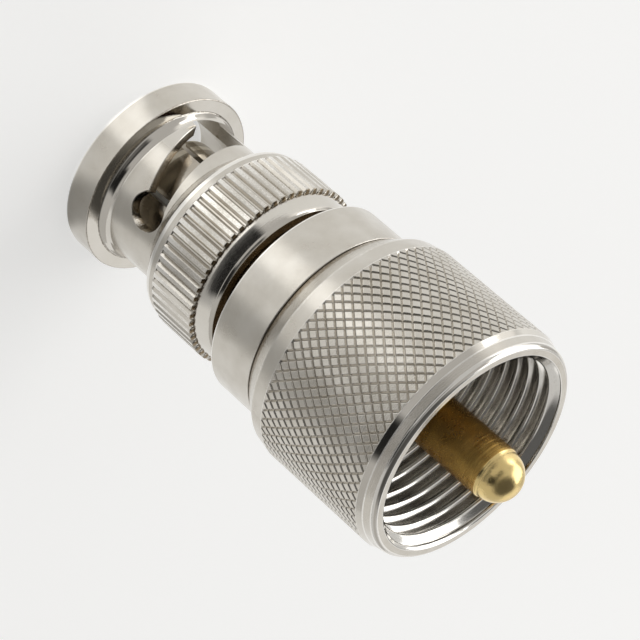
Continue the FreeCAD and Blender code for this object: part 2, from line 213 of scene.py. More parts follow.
sight = Matrix(((-0.65915, -0.75201, 0.0), (0.37305, -0.32698, -0.86828), (0.65296, -0.57233, 0.49607)))
camera = bpy.data.objects.new("camera", bpy.data.cameras.new("camera"))
camera.data.lens = 170.93
camera.data.clip_start = 0.01
camera.location = (0.0000248, -0.1803164, 0.1220545)
camera.rotation_euler = sight.to_euler()
bpy.context.scene.collection.objects.link(camera)
bpy.context.scene.camera = camera
bpy.context.scene.view_settings.view_transform = "Standard"


# Adapter body.
# The brass bar that carries both plugs: a stop boss at the foot, the plain cylinder that shows
# between them, a neck for the nut's snap ring and the notched collar. Turned, then nickelled.
def around(reach, angle, height):
    """A point in metres, from millimetres of reach and height and an angle about the axis."""
    return reach * math.cos(angle) / 1000, reach * math.sin(angle) / 1000, height / 1000


def soften(corners, closed=True, steps=4, support=0.03):
    """Round the corners (radius, height, rounding, wear and light amount) of a turned outline; its flats
    stay flat. Unless it is given, a convex corner takes a lighter tone and a concave corner a darker one.
    """
    outline = []
    total = len(corners)
    for i, (r, z, rounding, *given) in enumerate(corners):
        here = Vector((r, z))
        if not closed and i in (0, total - 1) or rounding == 0:
            outline.append((r, z, given[0] if given else 0.0))
            continue
        before = Vector(corners[i - 1][:2]) - here
        after = Vector(corners[(i + 1) % total][:2]) - here
        reach = min(rounding, 0.45 * before.length, 0.45 * after.length)
        hold = min(support, 0.2 * reach + 0.01)
        into, out = before.normalized(), after.normalized()
        turning = -(into.x * out.y - into.y * out.x)
        wear_and_light_amount = given[0] if given else 1.0 if turning > 0 else -0.5
        outline.append((*(here + into * (reach + hold)), 0.0))
        for k in range(steps + 1):
            share = k / steps
            point = here + into * reach * (1 - share) ** 2 + out * reach * share ** 2
            outline.append((*point, wear_and_light_amount))
        outline.append((*(here + out * (reach + hold)), 0.0))
    return outline


def revolve(bm, outline, columns, closed=True):
    """Turn an outline of (radius, height, wear and light amount) about the axis into a skin."""
    wear_and_light = bm.verts.layers.float.get("wear_and_light_amount") or bm.verts.layers.float.new("wear_and_light_amount")
    rings = []
    for r, z, wear_and_light_amount in outline:
        ring = []
        for j in range(columns if r > 1e-6 else 1):
            vertex = bm.verts.new(around(r, 2 * math.pi * j / columns, z))
            vertex[wear_and_light] = wear_and_light_amount
            ring.append(vertex)
        rings.append(ring)
    for low, high in zip(rings, rings[1:] + rings[:1] if closed else rings[1:]):
        for j in range(columns):
            loop = [ring[k % len(ring)] for ring, k in ((low, j), (low, j + 1), (high, j + 1), (high, j))]
            corners = list(dict.fromkeys(loop))
            if len(corners) > 2:
                bm.faces.new(corners)


def piece_from(bm, name, *finishes, bright=()):
    """Close a skin, make its faces look outwards and give it its finishes.

    Each bright zone (low, high, inner, outer) takes the second finish."""
    bmesh.ops.remove_doubles(bm, verts=bm.verts, dist=2e-7)
    bmesh.ops.dissolve_degenerate(bm, edges=bm.edges, dist=1e-7)
    bmesh.ops.recalc_face_normals(bm, faces=bm.faces)
    for face in bm.faces:
        face.smooth = True
        centre = face.calc_center_median() * 1000
        reach = math.hypot(centre.x, centre.y)
        if any(z0 < centre.z < z1 and r0 < reach < r1 for z0, z1, r0, r1 in bright):
            face.material_index = 1
    mesh = bpy.data.meshes.new(name)
    bm.to_mesh(mesh)
    bm.free()
    for finish in finishes:
        mesh.materials.append(finish)
    mesh.set_sharp_from_angle(angle=math.radians(40))
    piece = bpy.data.objects.new(name, mesh)
    bpy.context.scene.collection.objects.link(piece)
    return piece


def turned(name, corners, *finishes, columns=240, closed=True, bright=()):
    bm = bmesh.new()
    revolve(bm, soften(corners, closed), columns, closed)
    return piece_from(bm, name, *finishes, bright=bright)


def cut(piece, cutter):
    """Take one closed solid out of a piece."""
    modifier = piece.modifiers.new("cut", "BOOLEAN")
    modifier.operation = "DIFFERENCE"
    modifier.solver = "EXACT"
    modifier.object = cutter
    mesh = bpy.data.meshes.new_from_object(piece.evaluated_get(bpy.context.evaluated_depsgraph_get()))
    piece.modifiers.remove(modifier)
    piece.data = mesh
    bpy.data.objects.remove(cutter)
    mesh.set_sharp_from_angle(angle=math.radians(40))


def surface_group():
    """Turned and plated surface: lathe marks round the axis, grain, clouding, and a lighter and a darker
    tone set by each point's wear and light amount. The lighter tone is worn edges and, in places, painted
    highlight; the darker tone is grime and, in places, painted shade.
    """
    group = bpy.data.node_groups.new("turned_surface", "ShaderNodeTree")
    for name, start in (("Marks", 0.5), ("Grain", 0.5), ("Satin", 0.3), ("Clouding", 0.05)):
        socket = group.interface.new_socket(name, in_out="INPUT", socket_type="NodeSocketFloat")
        socket.default_value = start
    for name, kind in (("Cloud", "Float"), ("Wear And Light", "Float"), ("Grime And Shade", "Float"),
                       ("Roughness", "Float"), ("Normal", "Vector")):
        group.interface.new_socket(name, in_out="OUTPUT", socket_type="NodeSocket" + kind)
    given, result = add(group, "NodeGroupInput"), add(group, "NodeGroupOutput")
    place = add(group, "ShaderNodeVectorMath", operation="SCALE")
    link(group, add(group, "ShaderNodeTexCoord").outputs["Object"], place.inputs[0])
    place.inputs["Scale"].default_value = 1000
    split = add(group, "ShaderNodeSeparateXYZ")
    link(group, place.outputs[0], split.inputs[0])
    x, y, z = split.outputs
    stretch, pitch, lean = 0.22, 9.0, 0.83
    lane = add(group, "ShaderNodeCombineXYZ")
    link(group, times(group, x, stretch), lane.inputs[0])
    link(group, times(group, y, stretch), lane.inputs[1])
    link(group, times(group, plus(group, z, times(group, span(group, x, y), lean)), pitch), lane.inputs[2])
    noises = []
    for source, scale, detail in ((lane.outputs[0], 1.0, 3.0), (place.outputs[0], 9.0, 4.0),
                                  (place.outputs[0], 0.55, 3.0)):
        noise = add(group, "ShaderNodeTexNoise")
        noise.inputs["Scale"].default_value = scale
        noise.inputs["Detail"].default_value = detail
        link(group, source, noise.inputs["Vector"])
        noises.append(noise.outputs["Fac"])
    marks, grain, cloud = noises
    speckle = less(group, grain, 0.5)
    wear_and_light_amount = add(group, "ShaderNodeAttribute", attribute_name="wear_and_light_amount").outputs["Fac"]
    ragged = plus(group, wear_and_light_amount, times(group, speckle, 1.2))
    wear_and_light = ramped(group, ragged, 0.35, 0.95)
    grime_and_shade = ramped(group, ragged, -0.35, -0.95)
    relief = plus(group, times(group, marks, given.outputs["Marks"]),
                  times(group, grain, given.outputs["Grain"]))
    bump = add(group, "ShaderNodeBump")
    bump.inputs["Strength"].default_value = 1.0
    bump.inputs["Distance"].default_value = 0.000012
    link(group, relief, bump.inputs["Height"])
    spread = times(group, less(group, cloud, 0.5), given.outputs["Clouding"])
    rough = plus(group, given.outputs["Satin"], spread)
    rough = plus(group, rough, times(group, speckle, 0.10))
    rough = sums(group, "SUBTRACT", rough, times(group, wear_and_light, 0.06), clamp=True)
    link(group, cloud, result.inputs["Cloud"])
    link(group, wear_and_light, result.inputs["Wear And Light"])
    link(group, grime_and_shade, result.inputs["Grime And Shade"])
    link(group, rough, result.inputs["Roughness"])
    link(group, bump.outputs["Normal"], result.inputs["Normal"])
    return group


turned_surface = surface_group()


def surfaced(name, **look):
    """A new material with the shared surface's roughness and relief."""
    material, tree, shader = new_material(name)
    surface = add(tree, "ShaderNodeGroup", node_tree=turned_surface)
    for field, value in look.items():
        surface.inputs[field.capitalize()].default_value = value
    link(tree, surface.outputs["Roughness"], shader.inputs["Roughness"])
    link(tree, surface.outputs["Normal"], shader.inputs["Normal"])
    return material, tree, shader, surface


def plated(name, plain, clouded, wear_and_light, grime_and_shade, **look):
    """A plated metal finish with its own four colours."""
    material, tree, shader, surface = surfaced(name, **look)
    colour = two_tone(tree, surface.outputs["Cloud"], plain, clouded)
    colour = two_tone(tree, surface.outputs["Wear And Light"], colour, wear_and_light)
    colour = two_tone(tree, surface.outputs["Grime And Shade"], colour, grime_and_shade)
    link(tree, colour, shader.inputs["Base Color"])
    shader.inputs["Metallic"].default_value = 1.0
    return material


satin_nickel = plated(
    "satin_nickel", (0.66, 0.635, 0.59), (0.48, 0.445, 0.385), (0.78, 0.76, 0.72), (0.20, 0.15, 0.09),
    marks=0.30, grain=0.32, satin=0.23, clouding=0.22)
bright_nickel = plated(
    "bright_nickel", (0.65, 0.625, 0.58), (0.57, 0.54, 0.485), (0.78, 0.76, 0.72), (0.10, 0.075, 0.045),
    marks=0.10, grain=0.06, satin=0.10, clouding=0.04)

foot, shelf, top, collar_foot, collar_top = 15.45, 16.75, 20.70, 23.40, 25.20
boss_radius, body_radius, ring_neck, collar_radius = 5.80, 7.845, 6.195, 7.145
foot_bore, thread_seat, socket_radius, bush_radius, bush_seat = 4.60, 19.45, 3.75, 5.495, 20.60
notch_reach, notch_length, notch_width, notch_height = 6.3, 2.9, 1.4, 1.2
adapter_body = turned("adapter_body", [
    # Painted shade: the stop boss between the body's shelf and the sleeve takes the darkest tone, standing
    # in for the shade in that gap.
    (foot_bore, foot, 0), (boss_radius, foot, 0, -0.9), (boss_radius, shelf, 0, -0.9),
    (body_radius, shelf, 0.16), (body_radius, top, 0.10, 0.5), (ring_neck, top, 0.05),
    (ring_neck, collar_foot, 0.05), (collar_radius, collar_foot, 0.06), (collar_radius, collar_top, 0.14),
    (bush_radius, collar_top, 0.05), (bush_radius, bush_seat, 0), (socket_radius, bush_seat, 0),
    (socket_radius, thread_seat, 0), (foot_bore, thread_seat, 0),
], satin_nickel, bright_nickel, bright=[(20.8, 25.3, 5.4, 7.2)])
notch = (Matrix.Translation((notch_reach / 1000, 0, collar_top / 1000))
         @ Matrix.Diagonal((notch_length / 1000, notch_width / 1000, notch_height / 1000, 1)))
for quarter in range(4):
    bpy.ops.mesh.primitive_cube_add(size=1)
    tool = bpy.context.object
    tool.data.transform(Matrix.Rotation(quarter * math.pi / 2, 4, "Z") @ notch)
    cut(adapter_body, tool)
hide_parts("adapter_body")
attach(adapter_body, "adapter")


# Front bushing.
# A white fluoroplastic bush turned to size and pressed into the collar; it holds the big pin.
def clouded_finish(name, plain, clouded, metallic, **look):
    """A finish of two colours that cloud into each other."""
    material, tree, shader, surface = surfaced(name, **look)
    link(tree, two_tone(tree, surface.outputs["Cloud"], plain, clouded), shader.inputs["Base Color"])
    shader.inputs["Metallic"].default_value = metallic
    return material


white_fluoroplastic = clouded_finish("white_fluoroplastic", (0.90, 0.90, 0.88), (0.82, 0.82, 0.79), 0.0,
                                     marks=0.8, grain=0.2, satin=0.42, clouding=0.1)
bush_top, pin_seat = 24.90, 2.18
uhf_insulator = turned("uhf_insulator", [
    (pin_seat, bush_seat, 0), (bush_radius, bush_seat, 0), (bush_radius, bush_top, 0.12),
    (pin_seat, bush_top, 0.05),
], white_fluoroplastic, columns=160)
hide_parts("uhf_insulator")
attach(uhf_insulator, "adapter")


# Big centre pin.
# Turned brass, gold plated. The barrel keeps its lathe marks and the domed tip is polished.
gilt_barrel = plated(
    "gilt_barrel", (0.95, 0.66, 0.20), (0.17, 0.05, 0.01), (0.80, 0.54, 0.16), (0.25, 0.13, 0.03),
    marks=2.4, grain=0.3, satin=0.25, clouding=0.20)
gilt_dome = plated(
    "gilt_dome", (0.86, 0.69, 0.34), (0.78, 0.58, 0.24), (0.90, 0.72, 0.38), (0.40, 0.24, 0.06),
    marks=0.15, grain=0.7, satin=0.23, clouding=0.16)
pin_foot, pin_flange, pin_radius, barrel_end = 19.20, 2.80, 1.98, 36.50
dome_centre, dome_radius = 36.71, 1.89
dome = [(dome_radius * math.cos(math.radians(a)), dome_centre + dome_radius * math.sin(math.radians(a)), 0)
        for a in range(5, 90, 5)]
uhf_pin = turned("uhf_pin", [
    (0, pin_foot, 0), (pin_flange, pin_foot, 0), (pin_flange, bush_seat, 0), (pin_seat, bush_seat, 0),
    (pin_seat, bush_top, 0.04), (pin_radius, bush_top, 0.04), (pin_radius, barrel_end, 0),
    (1.965, 36.58, 0), (1.93, 36.65, 0), (dome_radius, dome_centre, 0),
] + dome + [(0, dome_centre + dome_radius, 0)], gilt_barrel, gilt_dome, columns=128, closed=False,
    bright=[(36.57, 39.0, -1, 3)])
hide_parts("uhf_pin")
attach(uhf_pin, "adapter")


# Snap ring.
# A split ring of spring steel strip, trapped in the nut's groove behind the collar.
spring_strip = clouded_finish("spring_strip", (0.55, 0.53, 0.50), (0.44, 0.42, 0.38), 1.0,
                              marks=0.6, grain=0.5, satin=0.34, clouding=0.1)
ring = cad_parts["nut_snap_ring"]
ring.data.materials.clear()
ring.data.materials.append(spring_strip)


# Coupling nut.
# The knurled nut that draws the big plug home: rear lip, bore with the 5/8-24 thread, diamond
# knurl rolled over most of its length and a plain rim. Turned brass, nickelled, crests rubbed.
nut_rear, nut_front, knurl_rear, knurl_front = 20.80, 34.50, 23.50, 33.00
knurl_floor, knurl_crest, knurl_starts, knurl_rows = 8.93, 9.055, 69, 20
row_step, diamond_half_width, knurl_end = 0.5, 0.415, 0.15
thread_root, thread_crest, thread_pitch, thread_turns, thread_start = 7.9375, 7.3645, 25.4 / 24, 9.4, 25.0
lip_bore, lip_top, groove_radius, groove_foot, groove_top = 7.295, 22.90, 7.795, 21.32, 22.18
relief_radius, relief_top = 7.9575, 24.40
coupling_nut = turned("coupling_nut", [
    (lip_bore, nut_rear, 0.05), (body_radius, nut_rear, 0, -0.9), (8.096, 21.17, 0, -0.7),
    (8.375, 21.58, 0, 0), (8.83, 22.25, 0.10, 0.5), (knurl_crest, knurl_rear, 0.03),
    (knurl_floor, knurl_rear + knurl_end, 0), (knurl_floor, knurl_front - knurl_end, 0),
    (knurl_crest, knurl_front, 0.03), (8.86, 33.48, 0.05, 0.9), (8.76, 34.24, 0.12, 1),
    (8.50, nut_front, 0.08, 0.9), (thread_root, nut_front, 0.06), (thread_root, relief_top, 0),
    (relief_radius, relief_top, 0), (relief_radius, lip_top, 0.05), (lip_bore, lip_top, 0.05),
    (lip_bore, groove_top, 0.03), (groove_radius, groove_top, 0.03), (groove_radius, groove_foot, 0.03),
    (lip_bore, groove_foot, 0.03),
], satin_nickel, bright_nickel, columns=276,
    bright=[(33.0, 33.46, 8.8, 9.2), (34.30, 34.45, 8.4, 8.8), (22.0, 34.3, 7.0, 8.0)])


def lofted(name, bm, rings):
    """Skin a row of closed rings, cap both ends and hand it back as one small object."""
    for low, high in zip(rings, rings[1:]):
        for i in range(len(low)):
            k = (i + 1) % len(low)
            bm.faces.new((low[i], low[k], high[k], high[i]))
    bm.faces.new(rings[0][::-1])
    bm.faces.new(rings[-1])
    bmesh.ops.recalc_face_normals(bm, faces=bm.faces)
    mesh = bpy.data.meshes.new(name)
    bm.to_mesh(mesh)
    bm.free()
    return bpy.data.objects.new(name, mesh)


def knurl_diamond():
    """One raised diamond of the knurl: x outwards, y round the nut, z along it."""
    bm = bmesh.new()
    wear_and_light = bm.verts.layers.float.new("wear_and_light_amount")
    rings = []
    for share, height, wear_and_light_amount in (
        (0.99, -0.02, -0.8), (0.96, 0.0, -0.4), (0.72, 0.115, 0.7), (0.64, 0.125, 0.1),
    ):
        ring = []
        for y, z in ((diamond_half_width, 0), (0, row_step), (-diamond_half_width, 0), (0, -row_step)):
            vertex = bm.verts.new((height / 1000, share * y / 1000, share * z / 1000))
            vertex[wear_and_light] = wear_and_light_amount
            ring.append(vertex)
        rings.append(ring)
    return lofted("knurl_diamond", bm, rings)


def tree_with(name, *inputs):
    """An empty Geometry Nodes tree with its named inputs."""
    tree = bpy.data.node_groups.new(name, "GeometryNodeTree")
    tree.interface.new_socket("Geometry", in_out="INPUT", socket_type="NodeSocketGeometry")
    sockets = {}
    for label, kind in inputs:
        socket = tree.interface.new_socket(label, in_out="INPUT", socket_type="NodeSocket" + kind)
        sockets[label] = socket.identifier
    tree.interface.new_socket("Geometry", in_out="OUTPUT", socket_type="NodeSocketGeometry")
    return tree, sockets, add(tree, "NodeGroupInput").outputs, add(tree, "NodeGroupOutput")


def wound(tree, angle, reach, height):
    """Place at an angle and a reach about the axis, and a height."""
    place = add(tree, "ShaderNodeCombineXYZ")
    link(tree, times(tree, sums(tree, "COSINE", angle), reach), place.inputs[0])
    link(tree, times(tree, sums(tree, "SINE", angle), reach), place.inputs[1])
    link(tree, height, place.inputs[2])
    return place.outputs[0]


def moved(tree, geometry, place):
    step = add(tree, "GeometryNodeSetPosition")
    link(tree, geometry, step.inputs["Geometry"])
    link(tree, place, step.inputs["Position"])
    return step.outputs[0]


def realized(tree, geometry):
    real = add(tree, "GeometryNodeRealizeInstances")
    link(tree, geometry, real.inputs[0])
    return real.outputs[0]


def copies(tree, piece, count, angle, place=None):
    """One copy of a piece on each point, turned by its angle."""
    points = add(tree, "GeometryNodePoints")
    link(tree, count, points.inputs["Count"])
    if place is not None:
        link(tree, place, points.inputs["Position"])
    shape = add(tree, "GeometryNodeObjectInfo")
    link(tree, piece, shape.inputs["Object"])
    turn = add(tree, "ShaderNodeCombineXYZ")
    link(tree, angle, turn.inputs[2])
    spread = add(tree, "GeometryNodeInstanceOnPoints")
    link(tree, points.outputs[0], spread.inputs["Points"])
    link(tree, shape.outputs["Geometry"], spread.inputs["Instance"])
    link(tree, turn.outputs[0], spread.inputs["Rotation"])
    return realized(tree, spread.outputs[0])


def painted(tree, geometry, finish, result):
    """Last step of a tree: one material on what was grown."""
    paint = add(tree, "GeometryNodeSetMaterial")
    link(tree, geometry, paint.inputs["Geometry"])
    link(tree, finish, paint.inputs["Material"])
    link(tree, paint.outputs[0], result.inputs[0])


def knurl_tree():
    """Rows of diamonds round a cylinder, every other row half a step on, trimmed at both ends."""
    tree, sockets, value, result = tree_with(
        "diamond_knurl", ("Diamond", "Object"), ("Starts", "Int"), ("Rows", "Int"), ("Radius", "Float"),
        ("First Row", "Float"), ("Row Step", "Float"), ("Rear End", "Float"), ("Front End", "Float"),
        ("Finish", "Material"))
    number = add(tree, "GeometryNodeInputIndex").outputs[0]
    row = sums(tree, "FLOOR", sums(tree, "DIVIDE", plus(tree, number, 0.5), value["Starts"]))
    column = less(tree, number, times(tree, row, value["Starts"]))
    shifted = plus(tree, column, times(tree, sums(tree, "MODULO", row, 2.0), 0.5))
    angle = sums(tree, "DIVIDE", times(tree, shifted, 2 * math.pi), value["Starts"])
    height = plus(tree, value["First Row"], times(tree, row, value["Row Step"]))
    diamonds = copies(tree, value["Diamond"], times(tree, value["Starts"], value["Rows"]), angle,
                      wound(tree, angle, value["Radius"], height))
    split = add(tree, "ShaderNodeSeparateXYZ")
    link(tree, add(tree, "GeometryNodeInputPosition").outputs[0], split.inputs[0])
    trimmed = add(tree, "ShaderNodeCombineXYZ")
    link(tree, split.outputs[0], trimmed.inputs[0])
    link(tree, split.outputs[1], trimmed.inputs[1])
    above = sums(tree, "MAXIMUM", split.outputs[2], value["Rear End"])
    link(tree, sums(tree, "MINIMUM", above, value["Front End"]), trimmed.inputs[2])
    painted(tree, moved(tree, diamonds, trimmed.outputs[0]), value["Finish"], result)
    return tree, sockets


def grown(tree, sockets, **values):
    """Run a Geometry Nodes tree once and return its plain mesh."""
    holder = bpy.data.objects.new("holder", bpy.data.meshes.new("holder"))
    bpy.context.scene.collection.objects.link(holder)
    modifier = holder.modifiers.new("grow", "NODES")
    modifier.node_group = tree
    for label, value in values.items():
        modifier[sockets[label.replace("_", " ").title()]] = value
    mesh = bpy.data.meshes.new_from_object(holder.evaluated_get(bpy.context.evaluated_depsgraph_get()))
    bpy.data.objects.remove(holder)
    return mesh


def join_into(piece, mesh, smooth=False, sharp=None, finish=0):
    """Add a grown mesh to a piece, in one of the piece's finishes."""
    bm = bmesh.new()
    bm.from_mesh(piece.data)
    first = len(bm.faces)
    bm.from_mesh(mesh)
    bm.faces.ensure_lookup_table()
    for face in bm.faces[first:]:
        face.smooth = smooth
        face.material_index = finish
    bm.to_mesh(piece.data)
    bm.free()
    if sharp is not None:
        piece.data.set_sharp_from_angle(angle=math.radians(sharp))


knurling, sockets = knurl_tree()
knurl = grown(knurling, sockets, diamond=knurl_diamond(), starts=knurl_starts, rows=knurl_rows,
              radius=knurl_floor / 1000, first_row=knurl_rear / 1000, row_step=row_step / 1000,
              rear_end=knurl_rear / 1000, front_end=knurl_front / 1000, finish=satin_nickel)
join_into(coupling_nut, knurl)


def thread_tree():
    """Inside thread: a ridge that winds up the bore, fades in and out and is trimmed at the mouth."""
    tree, sockets, value, result = tree_with(
        "inside_thread", ("Turns", "Float"), ("Pitch", "Float"), ("Root", "Float"), ("Depth", "Float"),
        ("Start", "Float"), ("Mouth", "Float"), ("Countersink", "Float"), ("Finish", "Material"))
    sheet = add(tree, "GeometryNodeMeshGrid")
    for label, number in (("Size X", 1.0), ("Size Y", 1.0), ("Vertices Y", 15)):
        sheet.inputs[label].default_value = number
    link(tree, times(tree, value["Turns"], 120.0), sheet.inputs["Vertices X"])
    split = add(tree, "ShaderNodeSeparateXYZ")
    link(tree, add(tree, "GeometryNodeInputPosition").outputs[0], split.inputs[0])
    along = plus(tree, split.outputs[0], 0.5)
    across = times(tree, split.outputs[1], 0.92)
    turns = times(tree, along, value["Turns"])
    crest_half, flank_width, fade = 0.45, 0.37, 0.03
    flank = less(tree, crest_half, sums(tree, "ABSOLUTE", across))
    flank = sums(tree, "DIVIDE", flank, flank_width, clamp=True)
    fade_in = sums(tree, "DIVIDE", along, fade, clamp=True)
    fade_out = sums(tree, "DIVIDE", less(tree, 1.0, along), fade, clamp=True)
    lift = times(tree, times(tree, flank, fade_in), fade_out)
    height = plus(tree, value["Start"], times(tree, value["Pitch"], plus(tree, across, turns)))
    height = sums(tree, "MINIMUM", height, value["Mouth"])
    crest = less(tree, value["Root"], times(tree, lift, value["Depth"]))
    ledge = less(tree, value["Mouth"], value["Countersink"])
    opened = sums(tree, "DIVIDE", less(tree, height, ledge), value["Countersink"], clamp=True)
    cone = less(tree, value["Root"], times(tree, less(tree, 1.0, opened), value["Depth"]))
    reach = sums(tree, "MAXIMUM", crest, cone)
    ridge = moved(tree, sheet.outputs["Mesh"], wound(tree, times(tree, turns, 2 * math.pi), reach, height))
    # Painted highlight and painted shadow: each crest takes the lighter tone and each root the darker one.
    crest_tone = less(tree, times(tree, lift, 5.0), 4.0)
    root_shadow = less(tree, times(tree, lift, 0.8), 0.8)
    wear_and_light_amount = less(tree, sums(tree, "MAXIMUM", crest_tone, root_shadow), times(tree, opened, 0.4))
    mark = add(tree, "GeometryNodeStoreNamedAttribute", data_type="FLOAT", domain="POINT")
    mark.inputs["Name"].default_value = "wear_and_light_amount"
    link(tree, ridge, mark.inputs["Geometry"])
    link(tree, wear_and_light_amount, mark.inputs["Value"])
    painted(tree, realized(tree, mark.outputs[0]), value["Finish"], result)
    return tree, sockets


# Painted shade: the thread's colours are far darker than the nut's nickel, standing in for the shade inside
# the bore; its lighter colour is the painted crest highlight.
thread_nickel = plated(
    "thread_nickel", (0.33, 0.28, 0.205), (0.21, 0.165, 0.105), (0.84, 0.82, 0.78), (0.05, 0.035, 0.02),
    marks=0.0, grain=0.0, satin=0.20, clouding=0.05)
coupling_nut.data.materials.append(thread_nickel)
threading, sockets = thread_tree()
thread = grown(threading, sockets, turns=thread_turns, pitch=thread_pitch / 1000, root=thread_root / 1000,
               depth=(thread_root - thread_crest) / 1000, start=thread_start / 1000,
               mouth=(nut_front - 0.01) / 1000, countersink=0.0006, finish=thread_nickel)
thread.flip_normals()
join_into(coupling_nut, thread, smooth=True, finish=2)
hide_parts("coupling_nut")
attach(coupling_nut, "nut")


# Bayonet plug body.
# The carrier that screws into the foot of the adapter body: nose, flange for the washers, shank.
# Turned brass, nickelled all over.
nose_foot, nose_radius, nose_top, flange_radius, flange_top = 10.07, 4.15, 11.77, 6.05, 12.77
shank_radius, step_radius, step_top, plug_bore = 4.95, 3.80, 13.07, 3.50
bayonet_plug_body = turned("bayonet_plug_body", [
    (step_radius, nose_foot, 0), (nose_radius, nose_foot, 0.05), (nose_radius, nose_top, 0),
    (flange_radius, nose_top, 0.06), (flange_radius, flange_top, 0.06), (shank_radius, flange_top, 0.04),
    (shank_radius, foot, 0), (foot_bore, foot, 0), (foot_bore, thread_seat, 0), (plug_bore, thread_seat, 0),
    (plug_bore, step_top, 0), (step_radius, step_top, 0),
], satin_nickel, columns=192)
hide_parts("bayonet_plug_body")
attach(bayonet_plug_body, "adapter")


# Outer contact.
# A thin springy bronze tube sawn into six fingers, with a slight bead at the tips; bright plate.
finger_tip, finger_root, contact_radius, bead_radius = 2.62, 8.22, 3.95, 4.0
finger_count, half_saw_cut, first_cut = 6, 0.25 / bead_radius, -76


def contact_finger(columns=20):
    """One finger, its share of the tube less the saw cut, centred on +X."""
    half = math.pi / finger_count - half_saw_cut
    outline = soften([
        (plug_bore, finger_tip, 0.10), (3.96, finger_tip, 0.10), (bead_radius, 2.80, 0.10),
        (bead_radius, 3.62, 0.2), (contact_radius, 4.6, 0.2), (contact_radius, finger_root, 0),
        (plug_bore, finger_root, 0),
    ])
    bm = bmesh.new()
    wear_and_light = bm.verts.layers.float.new("wear_and_light_amount")
    slices = []
    for j in range(columns + 1):
        angle = half * (2 * j / columns - 1)
        ring = []
        for r, z, wear_and_light_amount in outline:
            vertex = bm.verts.new(around(r, angle, z))
            vertex[wear_and_light] = max(wear_and_light_amount, 0.0)
            ring.append(vertex)
        slices.append(ring)
    return lofted("contact_finger", bm, slices)


def ring_tree():
    """Copies of one piece, evenly spaced about the axis."""
    tree, sockets, value, result = tree_with(
        "ring_of_pieces", ("Piece", "Object"), ("Count", "Int"), ("First Angle", "Float"),
        ("Finish", "Material"))
    number = add(tree, "GeometryNodeInputIndex").outputs[0]
    step = sums(tree, "DIVIDE", 2 * math.pi, value["Count"])
    angle = plus(tree, value["First Angle"], times(tree, number, step))
    painted(tree, copies(tree, value["Piece"], value["Count"], angle), value["Finish"], result)
    return tree, sockets


contact_plate = plated(
    "contact_plate", (0.48, 0.445, 0.39), (0.37, 0.33, 0.27), (0.76, 0.72, 0.64), (0.16, 0.12, 0.06),
    marks=0.15, grain=0.10, satin=0.12, clouding=0.06)
outer_contact = turned("outer_contact", [
    (plug_bore, finger_root, 0), (contact_radius, finger_root, 0), (contact_radius, nose_foot, 0),
    (step_radius, nose_foot, 0), (step_radius, step_top, 0), (plug_bore, step_top, 0),
], contact_plate, columns=192)
ring_of_pieces, ring_sockets = ring_tree()
fingers = grown(ring_of_pieces, ring_sockets, piece=contact_finger(), count=finger_count,
                first_angle=math.radians(first_cut + 180 / finger_count), finish=contact_plate)
join_into(outer_contact, fingers, smooth=True, sharp=35)
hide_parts("outer_contact")
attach(outer_contact, "adapter")


# Gasket, rear bushing and thin pin.
# A red silicone ring on the nose, a white bushing with a pocket, and the thin gilt pin in it.
rubber = clouded_finish("silicone_rubber", (0.46, 0.10, 0.055), (0.36, 0.08, 0.05), 0.0,
                        marks=0.1, grain=1.0, satin=0.6, clouding=0.1)
gasket_foot, gasket_radius = 10.87, 4.80
gasket = turned("gasket", [
    (nose_radius, gasket_foot, 0.15), (gasket_radius, gasket_foot, 0.25), (gasket_radius, nose_top, 0.08),
    (nose_radius, nose_top, 0),
], rubber, columns=128)
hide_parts("gasket")
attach(gasket, "adapter")

pocket_radius, pocket_top, stem_radius = 2.425, 8.17, 1.05
rear_bush_radius, rear_bush_foot, rear_bush_top = 3.15, 3.37, 14.57
bayonet_insulator = turned("bayonet_insulator", [
    (pocket_radius, rear_bush_foot, 0.08), (rear_bush_radius, rear_bush_foot, 0.12),
    (rear_bush_radius, nose_foot, 0), (plug_bore, nose_foot, 0), (plug_bore, rear_bush_top, 0.1),
    (stem_radius, rear_bush_top, 0), (stem_radius, pocket_top, 0), (pocket_radius, pocket_top, 0.05),
], white_fluoroplastic, columns=128)
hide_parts("bayonet_insulator")
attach(bayonet_insulator, "adapter")

thin_tip, thin_radius, stop_radius, tail_radius, tail_top = 1.57, 0.675, 1.40, 0.80, 22.60
bayonet_pin = turned("bayonet_pin", [
    (0, thin_tip, 0), (thin_radius / 2, thin_tip, 0.12), (thin_radius, 2.92, 0.2),
    (thin_radius, pocket_top, 0), (stem_radius, pocket_top, 0.03), (stem_radius, rear_bush_top, 0),
    (stop_radius, rear_bush_top, 0.04), (stop_radius, pin_foot, 0), (tail_radius, pin_foot, 0),
    (tail_radius, tail_top, 0), (0, tail_top, 0),
], gilt_dome, columns=64, closed=False)
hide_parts("bayonet_pin")
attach(bayonet_pin, "adapter")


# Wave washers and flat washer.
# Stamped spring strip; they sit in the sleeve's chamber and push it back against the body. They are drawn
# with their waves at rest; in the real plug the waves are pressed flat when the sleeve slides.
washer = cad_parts["thrust_washer"]
washer.data.materials.clear()
washer.data.materials.append(spring_strip)
washer_inside, washer_outside, strip, rise, waves, wave_columns = 5.11, 6.14, 0.2, 0.39, 3, 96
